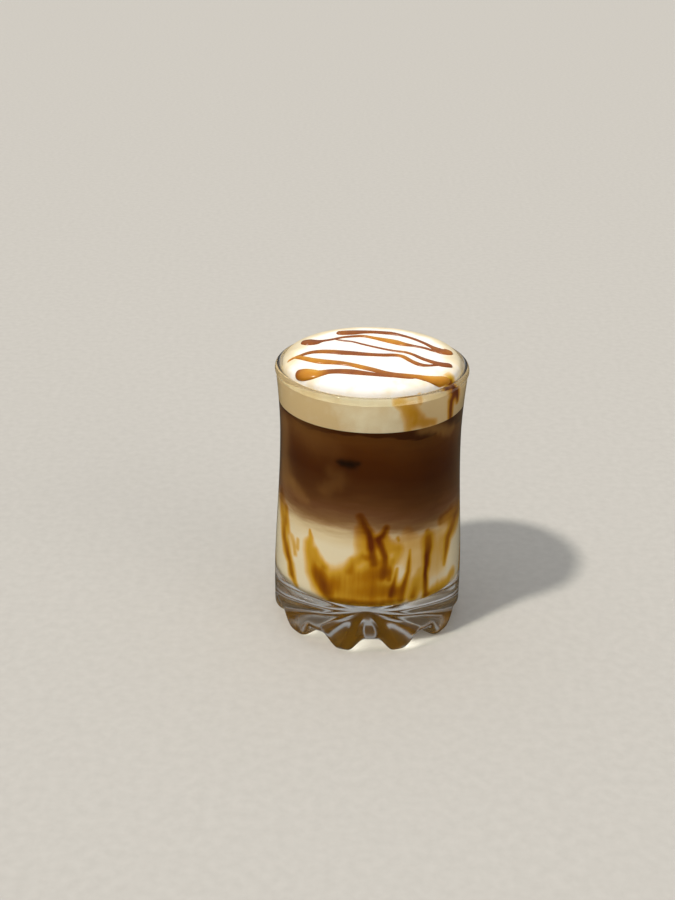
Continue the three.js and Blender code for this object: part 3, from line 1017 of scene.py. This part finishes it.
def caramel_sauce():
    """Thick caramel: glossy and red-brown, with painted light that turns it golden where light would come
    through from the foam under it.
    """
    material, tree = new_material("caramel_sauce")
    place = add(tree, "ShaderNodeTexCoord").outputs["Object"]
    painted_glow = add(tree, "ShaderNodeAttribute", attribute_name="painted_glow").outputs["Fac"]
    blotch = add(
        tree,
        "ShaderNodeTexNoise",
        {"Vector": place, "Scale": apart(SAUCE_BLOTCHES), "Detail": 2.0},
    )
    shift = add(
        tree,
        "ShaderNodeMapRange",
        {0: blotch.outputs[0], 1: NOISE_LOW, 2: NOISE_HIGH, 3: -0.08, 4: 0.12},
    )
    # Painted light: the glow kept on the mesh, moved by blotches of the sauce's own tone
    share = add(tree, "ShaderNodeMath", {0: painted_glow, 1: shift.outputs[0]}, operation="ADD")
    ramp = add(
        tree,
        "ShaderNodeValToRGB",
        {0: share.outputs[0]},
        stops=((0.0, "844619"), (0.2, "965618"), (0.45, "B4741A"), (0.75, "CB8A1E"), (1.0, "D8A038")),
    )
    sauce = add(
        tree,
        "ShaderNodeBsdfPrincipled",
        {"Base Color": ramp.outputs[0], "Roughness": 0.25, "IOR": 1.46},
    )
    finish_material(tree, sauce)
    return material


def matt_board():
    """A pale matt board. In glass and in reflections it is dark, so that it doesn't veil the drink."""
    material, tree = new_material("matt_board")
    place = add(tree, "ShaderNodeTexCoord").outputs["Object"]
    grain = add(
        tree,
        "ShaderNodeTexNoise",
        {"Vector": place, "Scale": apart(BOARD_GRAIN), "Detail": 3.0},
    )
    ramp = add(
        tree,
        "ShaderNodeValToRGB",
        {0: grain.outputs[0]},
        stops=((NOISE_LOW, "BCBBB7"), (NOISE_HIGH, "C2C1BD")),
    )
    path = add(tree, "ShaderNodeLightPath")
    through = add(
        tree,
        "ShaderNodeMix",
        {0: path.outputs["Is Transmission Ray"], 6: linear("46433A"), 7: linear("A69A8A")},
        data_type="RGBA",
    )
    seen = add(
        tree,
        "ShaderNodeMix",
        {0: path.outputs["Is Camera Ray"], 6: through.outputs[2], 7: ramp.outputs[0]},
        data_type="RGBA",
    )
    board = add(
        tree,
        "ShaderNodeBsdfPrincipled",
        {"Base Color": seen.outputs[2], "Roughness": 0.8, "Specular IOR Level": 0.1},
    )
    finish_material(tree, board)
    return material


def dress(obj, material, slot, *nodes):
    """Gives a piece its material and hides the solids that it stands for. slot is not used."""
    obj.data.materials.clear()
    obj.data.materials.append(material)
    if nodes:
        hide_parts(*nodes)
    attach(obj, "root")


def make_camera():
    """The camera that took the photo, as fitted."""
    data = bpy.data.cameras.new("camera")
    data.lens = CAMERA_LENS
    data.sensor_width = 36.0
    data.clip_start = 0.01
    data.clip_end = 20.0
    obj = bpy.data.objects.new("camera", data)
    bpy.context.scene.collection.objects.link(obj)
    tilt = Matrix.Rotation(math.radians(90.0 - CAMERA_PITCH), 4, "X")
    roll = Matrix.Rotation(math.radians(CAMERA_ROLL), 4, "Z")
    obj.matrix_world = Matrix.Translation(Vector(CAMERA_PLACE) * MM) @ tilt @ roll
    bpy.context.scene.camera = obj


def add_lamp(name, energy, angle, colour, direction):
    """A distant lamp that shines along a direction. A wider angle gives a softer shadow."""
    data = bpy.data.lights.new(name, "SUN")
    data.energy = energy
    data.angle = math.radians(angle)
    data.color = linear(colour)[:3]
    lamp = bpy.data.objects.new(name, data)
    lamp.rotation_euler = Vector(direction).to_track_quat("-Z", "Y").to_euler()
    bpy.context.scene.collection.objects.link(lamp)
    return lamp


def make_light():
    """Soft light from a pale room, one lamp from the left and a weak, wide one from the right."""
    world = bpy.data.worlds.new("soft_room")
    world.use_nodes = True
    tree = world.node_tree
    tree.nodes.clear()
    way = add(tree, "ShaderNodeTexCoord").outputs["Generated"]
    rise = add(tree, "ShaderNodeSeparateXYZ", {0: way}).outputs[2]
    shade = add(
        tree,
        "ShaderNodeValToRGB",
        {0: rise},
        stops=((0.0, "8A8886"), (0.35, "C2C0BE"), (0.8, "FFFFFF")),
    )
    sky = add(tree, "ShaderNodeBackground", {"Color": shade.outputs[0], "Strength": 0.65})
    add(tree, "ShaderNodeOutputWorld", {"Surface": sky.outputs[0]})
    bpy.context.scene.world = world
    add_lamp("key", energy=2.4, angle=4.0, colour="FFF6EA", direction=(0.8, 0.6, -1.43))
    fill = add_lamp("fill", energy=0.7, angle=40.0, colour="FFF8F0", direction=(-0.75, 0.65, -0.35))
    fill.visible_glossy = False
    bpy.context.scene.view_settings.view_transform = "Standard"


def make_floor():
    """A wide board just under the toes of the glass."""
    half = BOARD_WIDTH / 2
    corners = [(-half, -half, 0), (half, -half, 0), (half, half, 0), (-half, half, 0)]
    floor = mesh_object("floor", corners, [(0, 1, 2, 3)])
    floor.location.z = -BOARD_GAP * MM
    floor.data.materials.append(matt_board())


make_camera()
make_light()
make_floor()

tumbler = make_glass()
dress(tumbler, soda_lime_glass("fire_polished_glass", 0.0), "clear_glass", "glass")
blur_underside(tumbler)

streaks = WALL_STREAKS + back_streaks(BACK_SEED)
milk_layer = make_layer("milk_layer", FLOOR_Z, MILK_TOP_Z)
stain_and_light_layer(milk_layer, streaks)
dress(milk_layer, whole_milk(), "milk", "milk")

coffee_layer = make_layer("coffee_layer", MILK_TOP_Z, COFFEE_TOP_Z)
stain_and_light_layer(coffee_layer, streaks)
dress(coffee_layer, iced_coffee(), "coffee", "coffee")

foam_cap = make_foam()
tint_and_shade_foam(foam_cap)
dress(foam_cap, milk_foam(), "foam", "foam")

drizzle = make_drizzle()
dress(drizzle, caramel_sauce(), "caramel", "foam")
